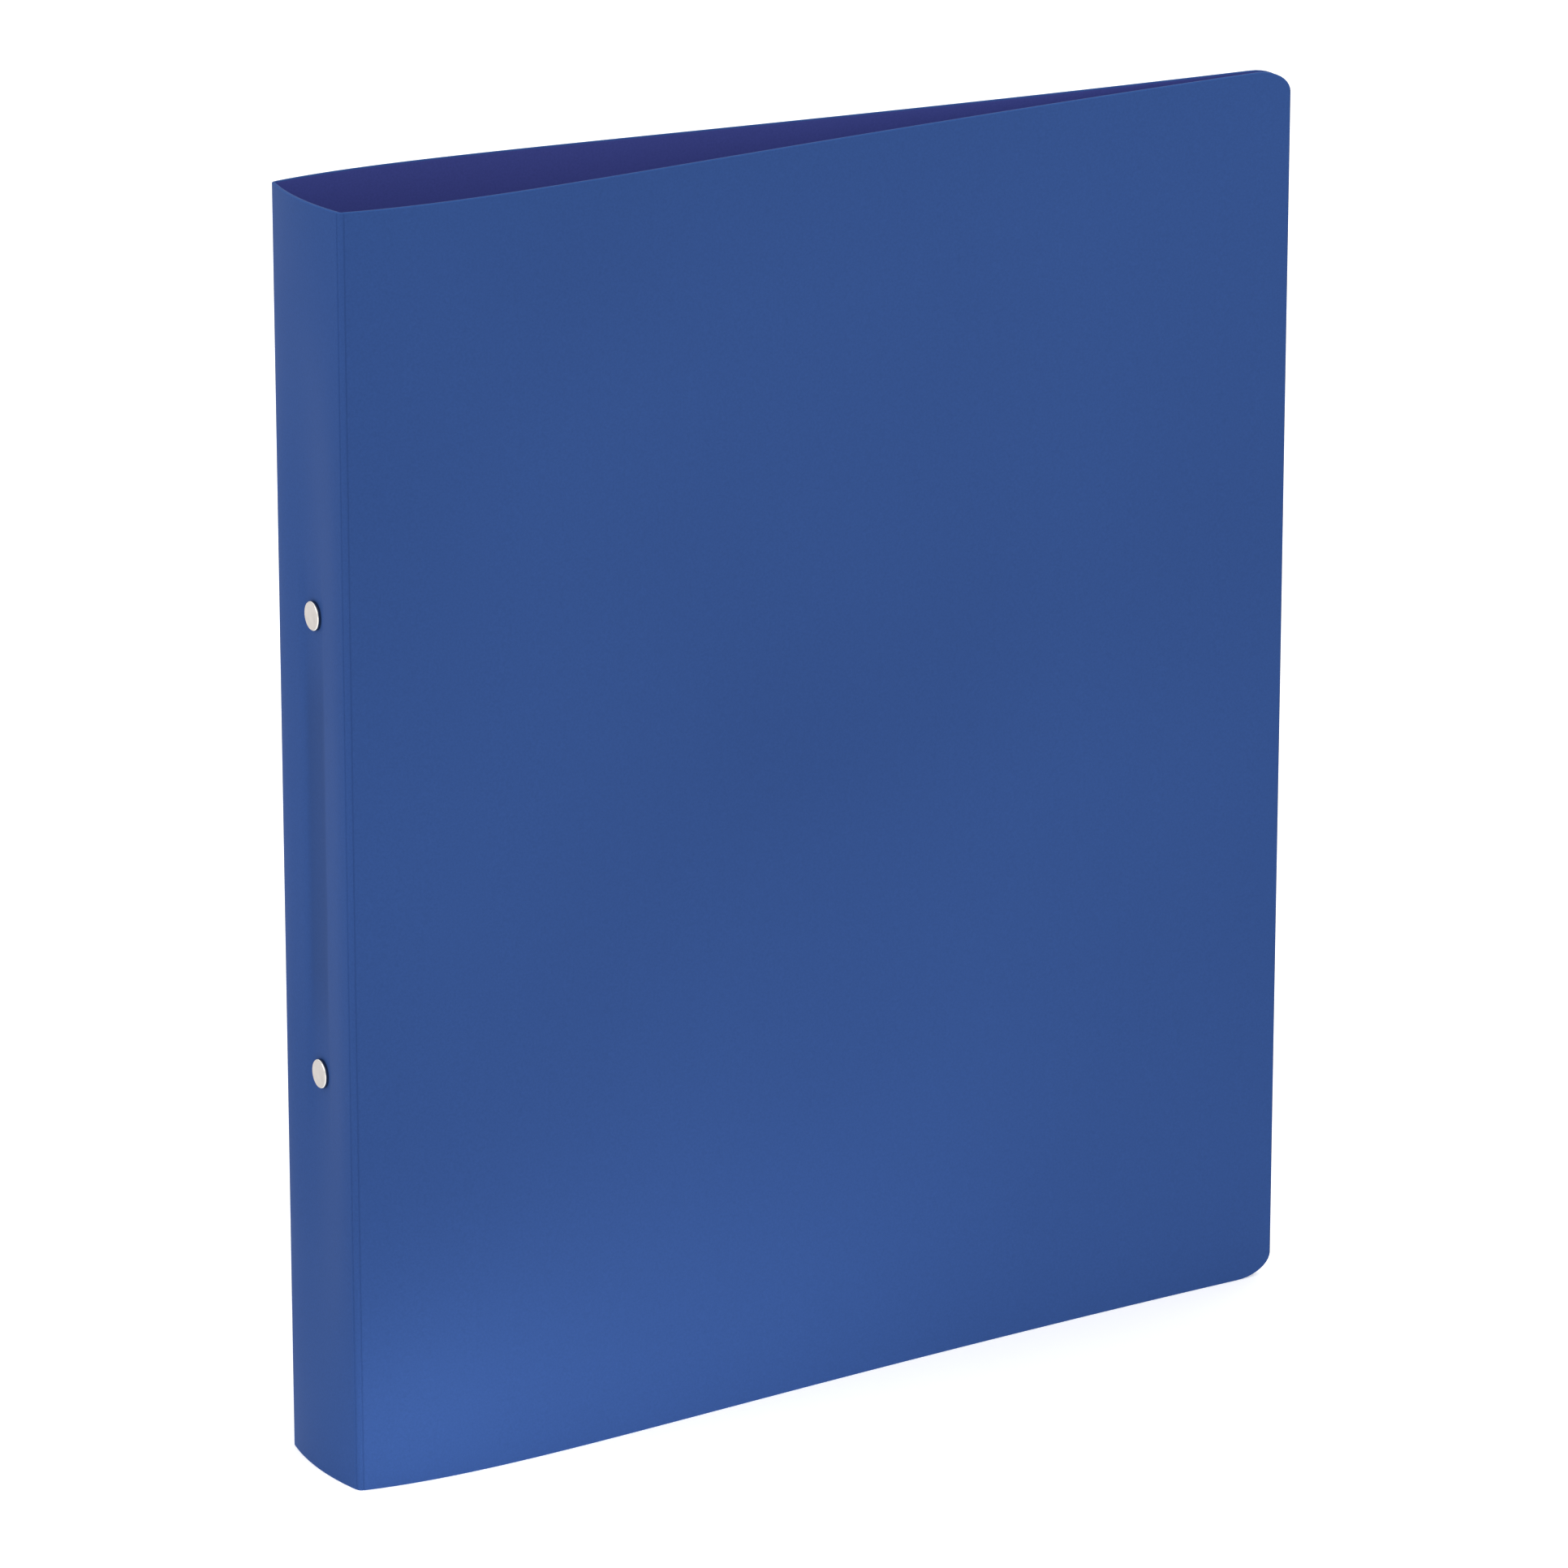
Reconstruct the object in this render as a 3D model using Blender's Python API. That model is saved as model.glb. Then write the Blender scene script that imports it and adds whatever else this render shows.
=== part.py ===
"""A4 ring binder: a folded polypropylene cover with a two-ring mechanism riveted to its spine.

Frame: +Z runs up the spine, the covers run from the spine towards +X, and the front cover faces -Y.
The binder stands on its lower edges at z = 0, with the origin below the middle of its box.
Inside the mechanism, height is measured along +X from the sheet's inner face at the spine's two edges.
"""

import math

import bmesh
import bpy
from mathutils import Vector

MM = 0.001
FRONT, BACK = -1, 1                # the two sides of the binder, as signs of Y
GAP = 0.3 * MM                     # between two pieces that touch on the real binder

# Cover sheet, one polypropylene sheet folded at two living hinges
OVERALL_DEPTH = 275.5 * MM         # from the spine's outward bow to the fore-edge
COVER_HEIGHT = 320 * MM
SHEET = 0.9 * MM
WEB = 0.45 * MM                    # the sheet's thickness where it is scored to fold
SPINE_HALF_WIDTH = 16.5 * MM
SPINE_BOW = 1.8 * MM               # how far the spine's middle stands out of its edges at top and bottom
FOLD_RADIUS = 1.6 * MM
COVER_LEAN = math.radians(11.5)    # how far each cover leans out where it leaves the fold
COVER_SWELL = 46 * MM              # length of the leaning stretch's handle on the cover's curve
COVER_TAPER = 0.04                 # slope of the straight run to the fore-edge
COVER_TAPER_RUN = 157 * MM
FORE_EDGE_HALF_GAP = 0.9 * MM      # from the middle plane to the middle of each sheet
CORNER_RADIUS = 6 * MM
FLATTENING = 2.55 * MM             # how far the mechanism draws the spine's middle in
CHANNEL_DEPTH = 0.4 * MM           # the narrow channel between the rivets, deeper still
CHANNEL_FLAT, CHANNEL_HALF_WIDTH = 3.6 * MM, 7 * MM

# Ring mechanism
RIVET_SPACING = 115.4 * MM
RING_SPACING = 80 * MM
MECHANISM_LENGTH = 130 * MM
PLATE = 0.8 * MM
PLATE_HALF_WIDTH = 9 * MM
PLATE_CROWN = 5.9 * MM             # height of the arch plate's outer face at its middle
PLATE_SHOULDER = 3.4 * MM          # height where the arch turns down into its side walls
PLATE_LIP_HEIGHT = 0.55 * MM
PLATE_LIP_WIDTH = 1.5 * MM
PLATE_END_RADIUS = 6 * MM
RAIL = 0.9 * MM
RAIL_LENGTH = 122 * MM
RAIL_WIDTH = 7.3 * MM              # from the pivot to the edge at the middle
RAIL_HEEL = 0.35 * MM              # what lies beyond the pivot, in the arch plate's lip
PIVOT_HALF_SPACING = 7.6 * MM
PIVOT_HEIGHT = 2.7 * MM
CLOSED_TILT = math.radians(5.5)    # the rails dip this far to the middle when the rings are shut
RING_INNER_DIAMETER = 20 * MM
WIRE_RADIUS = 1.4 * MM
WIRE_BEND_RADIUS = 2.0 * MM
LEG_INSET = 2.0 * MM               # from the pivot to the ring's leg, along the rail
LEG_LENGTH = 2.7 * MM              # from the rail's middle to where the leg starts to bend
TENON_RADIUS = 0.9 * MM
STAKED_HEAD_RADIUS = 1.5 * MM
STAKED_HEAD_HEIGHT = 0.5 * MM
TIP_RADIUS = 0.4 * MM              # at the blunt end of the front half's tip
TIP_DEPTH = 0.7 * MM               # how far that tip enters the back half's hollow one
WINDOW_INNER, WINDOW_OUTER = 3.4 * MM, 7.9 * MM
WINDOW_LENGTH = 3.8 * MM

# Rivets and the spacers round their shanks
HEAD_RADIUS = 3.65 * MM
HEAD_HEIGHT = 1.1 * MM
HEAD_GAP = 0.4 * MM                # under the head, where the sheet curves
SHANK_RADIUS = 1.7 * MM
FLARE_RADIUS = 3.0 * MM
FLARE_HEIGHT = 0.8 * MM
RIVET_BORE_RADIUS = 1.1 * MM
SPACER_RADIUS = 2.9 * MM
NOTCH_RADIUS = 3.7 * MM            # in the rails, round each spacer

# Steps that round shapes are divided into
SPINE_STEPS, SPINE_ROWS = 20, 64
WEB_STEPS = 6
COVER_STEPS = 24
ARCH_STEPS = 16
RING_STEPS, BEND_STEPS, WIRE_SIDES = 18, 4, 16
TURN_STEPS = 28

# Worked out from the above
MID_HEIGHT = COVER_HEIGHT / 2
FORE_EDGE_X = OVERALL_DEPTH / 2
SPINE_X = -FORE_EDGE_X + SHEET / 2  # the sheet's middle where it bows out furthest
MECHANISM_X = SPINE_X + SPINE_BOW + SHEET / 2  # the inner face at the spine's edges, where heights start
SEAT_HEIGHT = FLATTENING + CHANNEL_DEPTH - SPINE_BOW  # of the inner face where a rivet passes through
SPINE_RADIUS = (SPINE_HALF_WIDTH ** 2 + SPINE_BOW ** 2) / (2 * SPINE_BOW)
SPINE_EDGE_TURN = math.asin(SPINE_HALF_WIDTH / SPINE_RADIUS)
COVER_TURN = math.pi / 2 - COVER_LEAN
RING_RADIUS = RING_INNER_DIAMETER / 2 + WIRE_RADIUS
HOLE_RADIUS = SHANK_RADIUS + GAP


# ---- Scene helpers ----

def clear_scene():
    for old in list(bpy.data.objects):
        bpy.data.objects.remove(old)


def make_material(name, colour, roughness, metallic=0.0):
    material = bpy.data.materials.new(name)
    material.use_nodes = True
    shader = material.node_tree.nodes["Principled BSDF"]
    shader.inputs["Base Color"].default_value = (*colour, 1)
    shader.inputs["Roughness"].default_value = roughness
    shader.inputs["Metallic"].default_value = metallic
    return material


def make_empty(name, location):
    empty = bpy.data.objects.new(name, None)
    empty.location = location
    bpy.context.scene.collection.objects.link(empty)
    return empty


def make_object(name, bm, material=None, parent=None, location=(0, 0, 0)):
    """An object from a bmesh. Its location counts from the parent's."""
    mesh = bpy.data.meshes.new(name)
    bm.to_mesh(mesh)
    bm.free()
    mesh.shade_smooth()
    mesh.set_sharp_from_angle(angle=math.radians(35))
    obj = bpy.data.objects.new(name, mesh)
    bpy.context.scene.collection.objects.link(obj)
    obj.location = location
    obj.parent = parent
    if material:
        mesh.materials.append(material)
    return obj


def solidify(obj, thickness):
    modifier = obj.modifiers.new("thickness", "SOLIDIFY")
    modifier.thickness = thickness
    modifier.offset = 0
    modifier.use_even_offset = True


def boolean(obj, tool, operation="DIFFERENCE"):
    tool.hide_render = True
    tool.display_type = "WIRE"
    modifier = obj.modifiers.new(tool.name, "BOOLEAN")
    modifier.operation = operation
    modifier.object = tool


def cylinder_x(name, radius, x_from, x_to, z):
    """A round cutter along X, at the binder's middle plane."""
    bm = bmesh.new()
    depth = x_to - x_from
    bmesh.ops.create_cone(bm, cap_ends=True, segments=TURN_STEPS, radius1=radius, radius2=radius, depth=depth)
    obj = make_object(name, bm, location=((x_from + x_to) / 2, 0, z))
    obj.rotation_euler = (0, math.pi / 2, 0)
    return obj


def rounded_prism(name, low, high, depth, radius, axis, steps=8):
    """A tool whose outline is a rectangle with rounded corners, from low to high, each a pair of numbers.

    The outline lies in the XZ plane and is extruded along Y, or lies in YZ and is extruded along X.
    """
    bm = bmesh.new()
    corners = ((high[0], high[1], 0), (low[0], high[1], 90), (low[0], low[1], 180), (high[0], low[1], 270))
    outline = []
    for a, b, start in corners:
        centre = (a - math.copysign(radius, a - low[0] - 1e-9), b - math.copysign(radius, b - low[1] - 1e-9))
        for step in range(steps + 1):
            angle = math.radians(start + 90 * step / steps)
            p, q = centre[0] + radius * math.cos(angle), centre[1] + radius * math.sin(angle)
            outline.append(bm.verts.new((p, -depth, q) if axis == "Y" else (-depth, p, q)))
    face = bm.faces.new(outline)
    push = Vector((0, 2 * depth, 0) if axis == "Y" else (2 * depth, 0, 0))
    extruded = bmesh.ops.extrude_face_region(bm, geom=[face])["geom"]
    bmesh.ops.translate(bm, vec=push, verts=[v for v in extruded if isinstance(v, bmesh.types.BMVert)])
    bmesh.ops.recalc_face_normals(bm, faces=bm.faces)
    return make_object(name, bm)


def strip(points, low, high):
    """An upright open sheet: the points, each (x, y), extruded from z = low to z = high."""
    bm = bmesh.new()
    line = [bm.verts.new((x, y, low)) for x, y in points]
    edges = [bm.edges.new(pair) for pair in zip(line, line[1:])]
    raised = bmesh.ops.extrude_edge_only(bm, edges=edges)["geom"]
    raised_points = [v for v in raised if isinstance(v, bmesh.types.BMVert)]
    bmesh.ops.translate(bm, vec=(0, 0, high - low), verts=raised_points)
    return bm


def turned(profile):
    """A solid turned round the X axis from (x, radius) points that start and end on the axis."""
    bm = bmesh.new()
    line = [bm.verts.new((x, 0, radius)) for x, radius in profile]
    edges = [bm.edges.new(pair) for pair in zip(line, line[1:])]
    bmesh.ops.spin(bm, geom=line + edges, cent=(0, 0, 0), axis=(1, 0, 0), angle=2 * math.pi, steps=TURN_STEPS)
    bmesh.ops.remove_doubles(bm, verts=bm.verts, dist=0.001 * MM)
    bmesh.ops.recalc_face_normals(bm, faces=bm.faces)
    return bm


# ---- The cover sheet's line, seen from above: spine, fold, cover ----

def spine_arc_x(y):
    return SPINE_X + SPINE_RADIUS - math.sqrt(SPINE_RADIUS ** 2 - y ** 2)


def fold_point(side, turn):
    """A point of the sheet's middle on the fold, turned this far from the spine's plane."""
    edge = Vector((spine_arc_x(SPINE_HALF_WIDTH), SPINE_HALF_WIDTH))
    inward = Vector((math.cos(SPINE_EDGE_TURN), -math.sin(SPINE_EDGE_TURN)))
    centre = edge + FOLD_RADIUS * inward
    point = centre - FOLD_RADIUS * Vector((math.cos(turn), -math.sin(turn)))
    return Vector((point.x, side * point.y))


def fold_axis(side):
    """Where the living hinge bends: the middle of its web."""
    return fold_point(side, (SPINE_EDGE_TURN + COVER_TURN) / 2)


def cover_line(side):
    """The cover's middle line, one Bezier curve: it leans out of the fold, then runs in to the fore-edge."""
    start = fold_point(BACK, COVER_TURN)
    lean = Vector((math.cos(COVER_LEAN), math.sin(COVER_LEAN)))
    end = Vector((FORE_EDGE_X, FORE_EDGE_HALF_GAP))
    start = start + GAP * lean
    controls = (
        start,
        start + COVER_SWELL * lean,
        end + COVER_TAPER_RUN * Vector((-1, COVER_TAPER)),
        end,
    )
    points = []
    for step in range(COVER_STEPS + 1):
        t = step / COVER_STEPS
        weights = ((1 - t) ** 3, 3 * t * (1 - t) ** 2, 3 * t * t * (1 - t), t ** 3)
        point = sum((w * c for w, c in zip(weights, controls)), Vector((0, 0)))
        points.append(Vector((point.x, side * point.y)))
    return points


def fade(value, full, none):
    """1 up to full, falling smoothly to 0 at none."""
    share = min(1.0, max(0.0, (none - value) / (none - full)))
    return share * share * (3 - 2 * share)


def pull(y, z):
    """How far the spine is drawn in: broadly at the mechanism, and more in the channel between the rivets."""
    from_middle = abs(z - MID_HEIGHT)
    broad = (1 - (y / SPINE_HALF_WIDTH) ** 2) ** 2 * fade(from_middle, MECHANISM_LENGTH / 2, COVER_HEIGHT / 2)
    past_rivet = from_middle - RIVET_SPACING / 2
    narrow = fade(abs(y), CHANNEL_FLAT, CHANNEL_HALF_WIDTH) * fade(past_rivet, 4.5 * MM, 16 * MM)
    return FLATTENING * broad + CHANNEL_DEPTH * narrow


# ---- Cover pieces ----

def make_spine(sheet):
    bm = bmesh.new()
    rows = []
    for row in range(SPINE_ROWS + 1):
        z = COVER_HEIGHT * row / SPINE_ROWS
        ys = [SPINE_HALF_WIDTH * (2 * step / SPINE_STEPS - 1) for step in range(SPINE_STEPS + 1)]
        rows.append([bm.verts.new((spine_arc_x(y) + pull(y, z), y, z)) for y in ys])
    for lower, upper in zip(rows, rows[1:]):
        for step in range(SPINE_STEPS):
            bm.faces.new((lower[step], lower[step + 1], upper[step + 1], upper[step]))
    spine = make_object("spine", bm, sheet)
    solidify(spine, SHEET)
    for place, z in rivet_heights().items():
        hole = cylinder_x(f"{place}_spine_hole_tool", HOLE_RADIUS, SPINE_X - 2 * MM, MECHANISM_X + 4 * MM, z)
        boolean(spine, hole)


def make_hinge_web(name, side, sheet):
    margin = GAP / FOLD_RADIUS
    first, last = SPINE_EDGE_TURN + margin, COVER_TURN
    points = [fold_point(side, first + (last - first) * step / WEB_STEPS) for step in range(WEB_STEPS + 1)]
    web = make_object(name, strip(points, 0, COVER_HEIGHT), sheet)
    solidify(web, WEB)


def make_cover(name, side, sheet):
    axis = fold_axis(side)
    hinge = make_empty(name + "_axis", (axis.x, axis.y, 0))
    points = [point - axis for point in cover_line(side)]
    cover = make_object(name, strip(points, 0, COVER_HEIGHT), sheet, parent=hinge)
    solidify(cover, SHEET)
    beyond = 20 * MM
    die = rounded_prism(
        name + "_die",
        low=(-beyond, 0),
        high=(FORE_EDGE_X - axis.x, COVER_HEIGHT),
        depth=60 * MM,
        radius=CORNER_RADIUS,
        axis="Y",
    )
    die.parent = hinge
    boolean(cover, die, "INTERSECT")


# ---- Ring mechanism ----

def rivet_heights():
    return {"upper": MID_HEIGHT + RIVET_SPACING / 2, "lower": MID_HEIGHT - RIVET_SPACING / 2}


def ring_heights():
    return {"upper": MID_HEIGHT + RING_SPACING / 2, "lower": MID_HEIGHT - RING_SPACING / 2}


def arch_profile():
    """The arch plate's middle line as (x, y): lip, side wall, arch, side wall, lip."""
    crown = PLATE_CROWN - PLATE / 2
    half = PLATE_HALF_WIDTH - PLATE / 2
    rise = crown - PLATE_SHOULDER
    radius = (half ** 2 + rise ** 2) / (2 * rise)
    lip = PLATE_LIP_HEIGHT + PLATE / 2
    arch = []
    for step in range(ARCH_STEPS + 1):
        y = half * (2 * step / ARCH_STEPS - 1)
        arch.append((crown - radius + math.sqrt(radius ** 2 - y ** 2), y))
    ease = 0.5 * MM
    wall = [
        (lip, -half + PLATE_LIP_WIDTH),
        (lip, -half + ease),
        (lip + ease, -half),
        (PLATE_SHOULDER - ease, -half),
    ]
    profile = wall + arch + [(x, -y) for x, y in reversed(wall)]
    return [(MECHANISM_X + x, y) for x, y in profile]


def make_arch_plate(steel):
    low, high = MID_HEIGHT - MECHANISM_LENGTH / 2, MID_HEIGHT + MECHANISM_LENGTH / 2
    plate = make_object("arch_plate", strip(arch_profile(), low, high), steel)
    solidify(plate, PLATE)
    outline = rounded_prism(
        "arch_plate_outline",
        low=(-PLATE_HALF_WIDTH - GAP, low),
        high=(PLATE_HALF_WIDTH + GAP, high),
        depth=200 * MM,
        radius=PLATE_END_RADIUS,
        axis="X",
    )
    boolean(plate, outline, "INTERSECT")
    for place, z in rivet_heights().items():
        low_x, high_x = MECHANISM_X + 3.5 * MM, MECHANISM_X + 9 * MM
        boolean(plate, cylinder_x(f"{place}_plate_hole_tool", HOLE_RADIUS, low_x, high_x, z))
    for place, z in ring_heights().items():
        for side in (FRONT, BACK):
            inner, outer = sorted((side * WINDOW_INNER, side * WINDOW_OUTER))
            window = rounded_prism(
                f"{place}_window_tool_{side:+d}",
                low=(inner, z - WINDOW_LENGTH / 2),
                high=(outer, z + WINDOW_LENGTH / 2),
                depth=6 * MM,
                radius=1.0 * MM,
                axis="X",
                steps=4,
            )
            window.location.x = MECHANISM_X + 9 * MM
            boolean(plate, window)


def pivot(side):
    return Vector((MECHANISM_X + PIVOT_HEIGHT, side * PIVOT_HALF_SPACING, 0))


def rail_point(side, inset, lift):
    """A point counted from the pivot: inset along the shut rail, and lifted off its middle plane."""
    along = Vector((-math.sin(CLOSED_TILT), -side * math.cos(CLOSED_TILT)))
    normal = Vector((math.cos(CLOSED_TILT), -side * math.sin(CLOSED_TILT)))
    return inset * along + lift * normal


def make_rail(name, side, steel, parent):
    bm = bmesh.new()
    corners = [
        rail_point(side, -RAIL_HEEL, -RAIL / 2),
        rail_point(side, RAIL_WIDTH, -RAIL / 2),
        rail_point(side, RAIL_WIDTH, RAIL / 2),
        rail_point(side, -RAIL_HEEL, RAIL / 2),
    ]
    end = bm.faces.new([bm.verts.new((p.x, p.y, MID_HEIGHT - RAIL_LENGTH / 2)) for p in corners])
    extruded = bmesh.ops.extrude_face_region(bm, geom=[end])["geom"]
    far_corners = [v for v in extruded if isinstance(v, bmesh.types.BMVert)]
    bmesh.ops.translate(bm, vec=(0, 0, RAIL_LENGTH), verts=far_corners)
    bmesh.ops.recalc_face_normals(bm, faces=bm.faces)
    rail = make_object(name, bm, steel, parent=parent)
    for place, z in rivet_heights().items():
        notch = cylinder_x(f"{name}_{place}_notch_tool", NOTCH_RADIUS, MECHANISM_X, MECHANISM_X + 5 * MM, z)
        boolean(rail, notch)
    for place, z in ring_heights().items():
        hole = cylinder_x(f"{name}_{place}_hole_tool", TENON_RADIUS + GAP, -5 * MM, 5 * MM, z)
        foot = rail_point(side, LEG_INSET, 0)
        hole.location = (foot.x, foot.y, z)
        hole.rotation_euler = (0, math.pi / 2, -side * CLOSED_TILT)
        hole.parent = parent
        boolean(rail, hole)


def ring_sections(side):
    """The half ring's line from foot to tip, as (point, direction, radius), counted from the pivot."""
    normal = rail_point(side, 0, 1)
    across = side * Vector((normal.y, -normal.x))   # to the outer side of the leg
    across = across if across.y * side > 0 else -across
    seat = RAIL / 2 + GAP
    foot = [
        (-seat - STAKED_HEAD_HEIGHT, STAKED_HEAD_RADIUS * 0.8),
        (-seat - STAKED_HEAD_HEIGHT / 2, STAKED_HEAD_RADIUS),
        (-seat, STAKED_HEAD_RADIUS),
        (-seat, TENON_RADIUS),
        (seat, TENON_RADIUS),
        (seat, WIRE_RADIUS),
    ]
    sections = [(rail_point(side, LEG_INSET, lift), normal, radius) for lift, radius in foot]

    leg_top = rail_point(side, LEG_INSET, LEG_LENGTH)
    bend_centre = leg_top + WIRE_BEND_RADIUS * across
    # The bend meets the ring's circle from outside, so their centres lie both radii apart.
    reach = RING_RADIUS + WIRE_BEND_RADIUS
    middle_y = -side * PIVOT_HALF_SPACING
    ring_centre = Vector((bend_centre.x + math.sqrt(reach ** 2 - (bend_centre.y - middle_y) ** 2), middle_y))
    joint = (bend_centre - ring_centre) / reach     # from the ring's centre to where the two arcs meet

    bend_from, bend_to = -across, -joint
    sweep = bend_from.angle(bend_to)
    for step in range(BEND_STEPS + 1):
        turn = sweep * step / BEND_STEPS
        spoke = (math.sin(sweep - turn) * bend_from + math.sin(turn) * bend_to) / math.sin(sweep)
        heading = Vector((spoke.y, -spoke.x)) * side
        sections.append((bend_centre + WIRE_BEND_RADIUS * spoke, heading, WIRE_RADIUS))

    start = math.atan2(abs(joint.y), joint.x)       # from +X, which points at the ring's top
    stop = math.asin((GAP / 2) / RING_RADIUS)
    for step in range(1, RING_STEPS + 1):
        angle = start + (stop - start) * step / RING_STEPS
        spoke = Vector((math.cos(angle), side * math.sin(angle)))
        heading = Vector((math.sin(angle), -side * math.cos(angle)))
        sections.append((ring_centre + RING_RADIUS * spoke, heading, WIRE_RADIUS))
    return sections


def make_half_ring(name, side, z, steel, parent):
    sections = ring_sections(side)
    tip_point, tip_heading, _ = sections[-1]
    # The front half ends in a blunt point, and the back half in a hollow of the same shape.
    sections.append((tip_point - side * TIP_DEPTH * tip_heading, tip_heading, TIP_RADIUS))

    bm = bmesh.new()
    loops = []
    for point, heading, radius in sections:
        sideways = Vector((-heading.y, heading.x)).normalized()
        loop = []
        for step in range(WIRE_SIDES):
            angle = 2 * math.pi * (step + 0.5) / WIRE_SIDES
            flat = point + radius * math.cos(angle) * sideways
            loop.append(bm.verts.new((flat.x, flat.y, z + radius * math.sin(angle))))
        loops.append(loop)
    for first, second in zip(loops, loops[1:]):
        for a in range(WIRE_SIDES):
            b = (a + 1) % WIRE_SIDES
            bm.faces.new((first[a], first[b], second[b], second[a]))
    bm.faces.new(loops[0])
    bm.faces.new(loops[-1])
    bmesh.ops.recalc_face_normals(bm, faces=bm.faces)
    make_object(name, bm, steel, parent=parent)


def make_rivet(name, z, steel):
    outer = MECHANISM_X + SEAT_HEIGHT - SHEET - HEAD_GAP    # the underside of the head
    flare = MECHANISM_X + PLATE_CROWN + GAP
    profile = [
        (outer - HEAD_HEIGHT, 0),
        (outer - HEAD_HEIGHT, HEAD_RADIUS * 0.78),
        (outer - HEAD_HEIGHT * 0.88, HEAD_RADIUS * 0.92),
        (outer - HEAD_HEIGHT * 0.5, HEAD_RADIUS),
        (outer, HEAD_RADIUS * 0.97),
        (outer, SHANK_RADIUS),
        (flare, SHANK_RADIUS),
        (flare, FLARE_RADIUS * 0.95),
        (flare + FLARE_HEIGHT * 0.5, FLARE_RADIUS),
        (flare + FLARE_HEIGHT, FLARE_RADIUS * 0.75),
        (flare + FLARE_HEIGHT, RIVET_BORE_RADIUS * 1.5),
        (flare + FLARE_HEIGHT * 0.4, RIVET_BORE_RADIUS),
        (MECHANISM_X + SEAT_HEIGHT, RIVET_BORE_RADIUS),
        (MECHANISM_X + SEAT_HEIGHT, 0),
    ]
    make_object(name, turned(profile), steel, location=(0, 0, z))


def make_spacer(name, z, steel):
    low = MECHANISM_X + SEAT_HEIGHT + GAP
    high = MECHANISM_X + PLATE_CROWN - PLATE - 2 * GAP
    profile = [(low, 0), (low, SPACER_RADIUS), (high, SPACER_RADIUS), (high, 0)]
    spacer = make_object(name, turned(profile), steel, location=(0, 0, z))
    boolean(spacer, cylinder_x(name + "_bore_tool", HOLE_RADIUS, low - 2 * MM, high + 2 * MM, z))


# ---- The binder ----

def make_binder():
    clear_scene()
    sheet = make_material("blue polypropylene", (0.037, 0.090, 0.280), 0.45)
    steel = make_material("nickel-plated steel", (0.62, 0.61, 0.59), 0.22, metallic=1.0)

    make_spine(sheet)
    for word, side in (("front", FRONT), ("back", BACK)):
        make_hinge_web(f"{word}_hinge_web", side, sheet)
        make_cover(f"{word}_cover", side, sheet)
        rail_axis = make_empty(f"{word}_rail_axis", pivot(side))
        make_rail(f"{word}_rail", side, steel, rail_axis)
        for place, z in ring_heights().items():
            make_half_ring(f"{place}_ring_{word}_half", side, z, steel, rail_axis)

    make_arch_plate(steel)
    for place, z in rivet_heights().items():
        make_rivet(f"{place}_rivet", z, steel)
        make_spacer(f"{place}_spacer", z, steel)


make_binder()
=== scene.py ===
"""Looks of the A4 ring binder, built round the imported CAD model, in metres.

+Z runs up the spine, +X from the spine to the fore-edge, and the front cover faces -Y.
The folded sheet is drawn anew as five finely divided pieces that meet edge to edge. The mechanism keeps its
CAD shapes, smoothed by modifiers, and the rivets are turned again with rounded edges.
"""

import math

import bmesh
import bpy
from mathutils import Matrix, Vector, noise


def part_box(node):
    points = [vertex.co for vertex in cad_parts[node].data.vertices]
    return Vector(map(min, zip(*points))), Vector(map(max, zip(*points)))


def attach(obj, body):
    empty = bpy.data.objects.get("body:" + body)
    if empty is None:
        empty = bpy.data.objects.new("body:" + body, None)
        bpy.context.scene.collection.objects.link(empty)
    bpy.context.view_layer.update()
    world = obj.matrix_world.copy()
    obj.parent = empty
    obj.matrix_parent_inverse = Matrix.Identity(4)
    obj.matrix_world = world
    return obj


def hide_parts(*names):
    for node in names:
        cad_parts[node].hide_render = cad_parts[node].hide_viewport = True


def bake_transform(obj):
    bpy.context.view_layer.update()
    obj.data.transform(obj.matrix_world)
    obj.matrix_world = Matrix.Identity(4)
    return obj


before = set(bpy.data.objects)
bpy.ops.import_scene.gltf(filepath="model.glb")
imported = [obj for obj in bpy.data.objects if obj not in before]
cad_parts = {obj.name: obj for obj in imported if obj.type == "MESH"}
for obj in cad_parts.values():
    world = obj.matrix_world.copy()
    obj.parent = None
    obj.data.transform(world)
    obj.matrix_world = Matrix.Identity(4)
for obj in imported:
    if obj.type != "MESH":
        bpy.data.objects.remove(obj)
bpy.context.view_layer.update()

MM = 0.001
FRONT, BACK = -1, 1
OUTSIDE, INSIDE, CUT_EDGE = 0, 1, 2    # the sheet's material slots
SHARP_ANGLE = math.radians(50)

# The folded sheet, as the CAD model has it
SHEET = 0.9 * MM
SPINE_HALF_WIDTH = 16.5 * MM
SPINE_BOW = 1.8 * MM
FOLD_RADIUS = 1.6 * MM
COVER_LEAN = math.radians(11.5)
COVER_SWELL = 46 * MM
COVER_TAPER = 0.04
COVER_TAPER_RUN = 157 * MM
FORE_EDGE_HALF_GAP = 0.9 * MM
CORNER_RADIUS = 6 * MM
FLATTENING = 2.55 * MM             # how far the mechanism draws the spine's middle in
CHANNEL_DEPTH = 0.4 * MM           # the narrow channel between the rivets, deeper still
CHANNEL_FLAT, CHANNEL_HALF_WIDTH = 3.6 * MM, 7 * MM
CHANNEL_END, CHANNEL_RUN_OUT = 4.5 * MM, 16 * MM    # past each rivet: still full depth, and gone

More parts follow.
